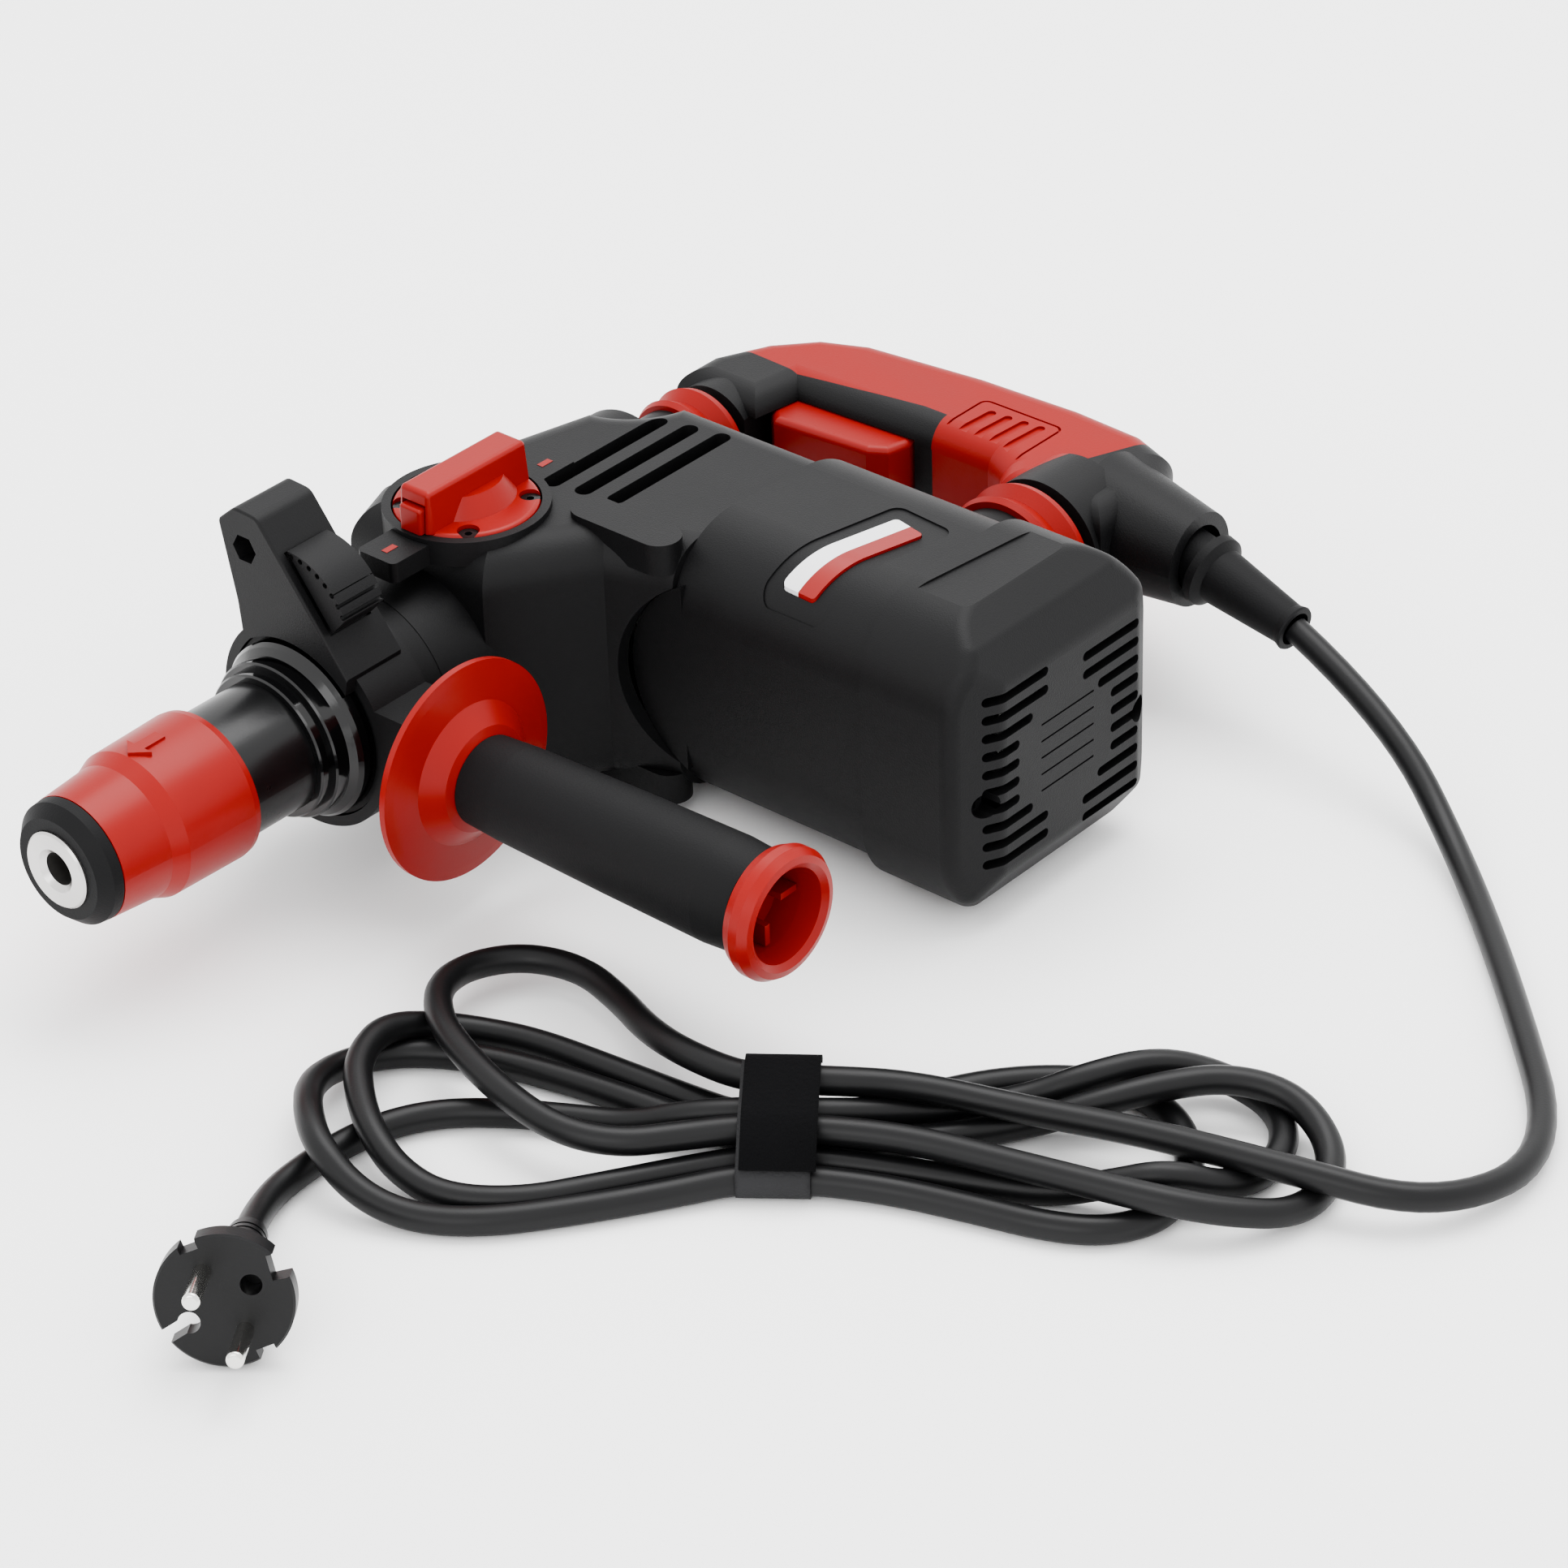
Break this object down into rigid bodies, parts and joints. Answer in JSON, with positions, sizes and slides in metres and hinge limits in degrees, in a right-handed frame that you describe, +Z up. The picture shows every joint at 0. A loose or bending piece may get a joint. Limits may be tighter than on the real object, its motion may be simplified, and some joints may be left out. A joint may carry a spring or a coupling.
{
  "type": "combination hammer",
  "caption": "L-shaped SDS-plus combination hammer with clamp-on side handle, damped rear D-handle, mode knob and strapped mains cord.",
  "frame": {"origin": "on the floor under the middle of the tool without its cord, as it lies on its right side", "axes": "+Y from the tool holder back to the rear handle, +X from the hammer barrel to the motor's end cap, +Z up out of the left side with the mode knob"},
  "size_m": [0.4111, 0.461, 0.1159],
  "materials": {
    "case_black": "fine texture",
    "gloss_black": "gloss",
    "barrel_black": "satin",
    "grip_rubber": "matte",
    "red_plastic": "satin",
    "red_skin": "satin",
    "badge_grey": "satin",
    "screw_black": "satin",
    "tool_steel": "ground",
    "bearing_steel": "polished",
    "spring_steel": "satin",
    "cast_alloy": "cast",
    "lamination": "matte",
    "copper": "polished",
    "carbon": "matte",
    "inner_plastic": "matte",
    "seal_rubber": "matte",
    "cord_rubber": "satin",
    "strap_fabric": "looped",
    "pin_metal": "polished"
  },
  "bodies": {
    "housing": {"gear_housing": "case_black", "motor_housing": "case_black", "end_cap": "case_black", "badge_plate": "badge_grey", "cap_screws": "screw_black", "front_barrel": "barrel_black", "neck_collar": "gloss_black", "spindle_bearing": "bearing_steel", "gear_plate": "cast_alloy", "motor_bearings": "bearing_steel", "motor_end_plate": "inner_plastic", "stator": "lamination", "brush_holders": "copper", "carbon_brushes": "carbon", "upper_bellows": "red_skin", "lower_bellows": "red_skin", "guide_rods": "tool_steel", "damper_springs": "spring_steel"},
    "spindle": {"spindle": "tool_steel", "cylinder_sleeve": "tool_steel", "bevel_gear": "tool_steel", "nose_cap": "grip_rubber", "locking_balls": "tool_steel", "sleeve_spring": "spring_steel"},
    "locking_sleeve": {"locking_sleeve": "red_plastic"},
    "impact_bolt": {"impact_bolt": "tool_steel"},
    "striker": {"striker": "tool_steel"},
    "piston": {"piston": "cast_alloy", "piston_ring": "seal_rubber"},
    "crank": {"crank_gear": "tool_steel"},
    "rod": {"connecting_rod": "tool_steel", "piston_pin": "tool_steel"},
    "bevel_shaft": {"bevel_shaft": "tool_steel"},
    "armature": {"armature_shaft": "tool_steel", "armature_core": "lamination", "commutator": "copper", "fan": "inner_plastic"},
    "mode_knob": {"mode_knob": "red_plastic", "knob_screws": "screw_black"},
    "mode_lock": {"mode_lock_button": "red_plastic"},
    "side_clamp": {"clamp_body": "case_black", "clamp_band": "tool_steel"},
    "clamp_lever": {"clamp_lever": "case_black"},
    "side_grip": {"handle_core": "red_plastic", "handle_grip": "grip_rubber", "handle_stud": "tool_steel"},
    "rear_handle": {"rear_handle_left": "case_black", "rear_handle_right": "case_black", "handle_overmould": "red_skin", "switch_module": "inner_plastic", "capacitor": "inner_plastic", "cord_guard": "grip_rubber", "cord_lead": "cord_rubber", "cord_hank": "cord_rubber", "cord_tail": "cord_rubber", "cord_strap": "strap_fabric", "plug_body": "cord_rubber", "plug_pins": "pin_metal"},
    "trigger": {"trigger": "red_plastic"}
  },
  "joints": [
    {"name": "armature_spin", "type": "hinge", "parent": "housing", "child": "armature", "pos_m": [0.0335, 0.04475, 0.049], "axis": [1, 0, 0], "continuous": true},
    {"name": "crank_spin", "type": "hinge", "parent": "housing", "child": "crank", "pos_m": [-0.0365, 0.02175, 0.049], "axis": [1, 0, 0], "continuous": true},
    {"name": "rod_swing", "type": "hinge", "parent": "crank", "child": "rod", "pos_m": [-0.0665, 0.01375, 0.049], "axis": [1, 0, 0], "continuous": true},
    {"name": "bevel_shaft_spin", "type": "hinge", "parent": "housing", "child": "bevel_shaft", "pos_m": [-0.0365, -0.00525, 0.049], "axis": [1, 0, 0], "continuous": true},
    {"name": "spindle_spin", "type": "hinge", "parent": "housing", "child": "spindle", "pos_m": [-0.0665, -0.13125, 0.049], "axis": [0, 1, 0], "continuous": true},
    {"name": "locking_sleeve_pull", "type": "slide", "parent": "spindle", "child": "locking_sleeve", "axis": [0, 1, 0], "range_m": [0, 0.008], "stiffness_N_per_m": 900},
    {"name": "impact_bolt_slide", "type": "slide", "parent": "spindle", "child": "impact_bolt", "axis": [0, 1, 0], "range_m": [0, 0.0035]},
    {"name": "striker_slide", "type": "slide", "parent": "housing", "child": "striker", "axis": [0, 1, 0], "range_m": [0, 0.008]},
    {"name": "piston_slide", "type": "slide", "parent": "housing", "child": "piston", "axis": [0, 1, 0], "range_m": [0, 0.016]},
    {"name": "mode_knob_turn", "type": "hinge", "parent": "housing", "child": "mode_knob", "pos_m": [-0.064, -0.01475, 0.091], "axis": [0, 0, 1], "range_deg": [0, 180]},
    {"name": "mode_lock_press", "type": "slide", "parent": "mode_knob", "child": "mode_lock", "axis": [0, 1, 0], "range_m": [0, 0.003], "stiffness_N_per_m": 400},
    {"name": "side_clamp_turn", "type": "hinge", "parent": "housing", "child": "side_clamp", "pos_m": [-0.0665, -0.07275, 0.049], "axis": [0, 1, 0], "range_deg": [-180, 0]},
    {"name": "clamp_lever_press", "type": "slide", "parent": "side_clamp", "child": "clamp_lever", "axis": [-0.788, 0, -0.6157], "range_m": [0, 0.0024], "stiffness_N_per_m": 900},
    {"name": "side_grip_screw", "type": "hinge", "parent": "side_clamp", "child": "side_grip", "pos_m": [0.0135, -0.07275, 0.049], "axis": [1, 0, 0], "range_deg": [0, 540]},
    {"name": "rear_handle_float", "type": "slide", "parent": "housing", "child": "rear_handle", "axis": [0, -1, 0], "range_m": [0, 0.004], "stiffness_N_per_m": 9000},
    {"name": "trigger_pull", "type": "hinge", "parent": "rear_handle", "child": "trigger", "pos_m": [-0.0758, 0.13925, 0.049], "axis": [0, 0, 1], "range_deg": [0, 7], "stiffness_Nm_per_rad": 1.5}
  ],
  "couplings": [
    {"joint": "crank_spin", "follows": "armature_spin", "ratio": -0.21053},
    {"joint": "rod_swing", "follows": "armature_spin", "ratio": 0.21053},
    {"joint": "bevel_shaft_spin", "follows": "armature_spin", "ratio": 0.5},
    {"joint": "spindle_spin", "follows": "armature_spin", "ratio": 0.15882}
  ]
}
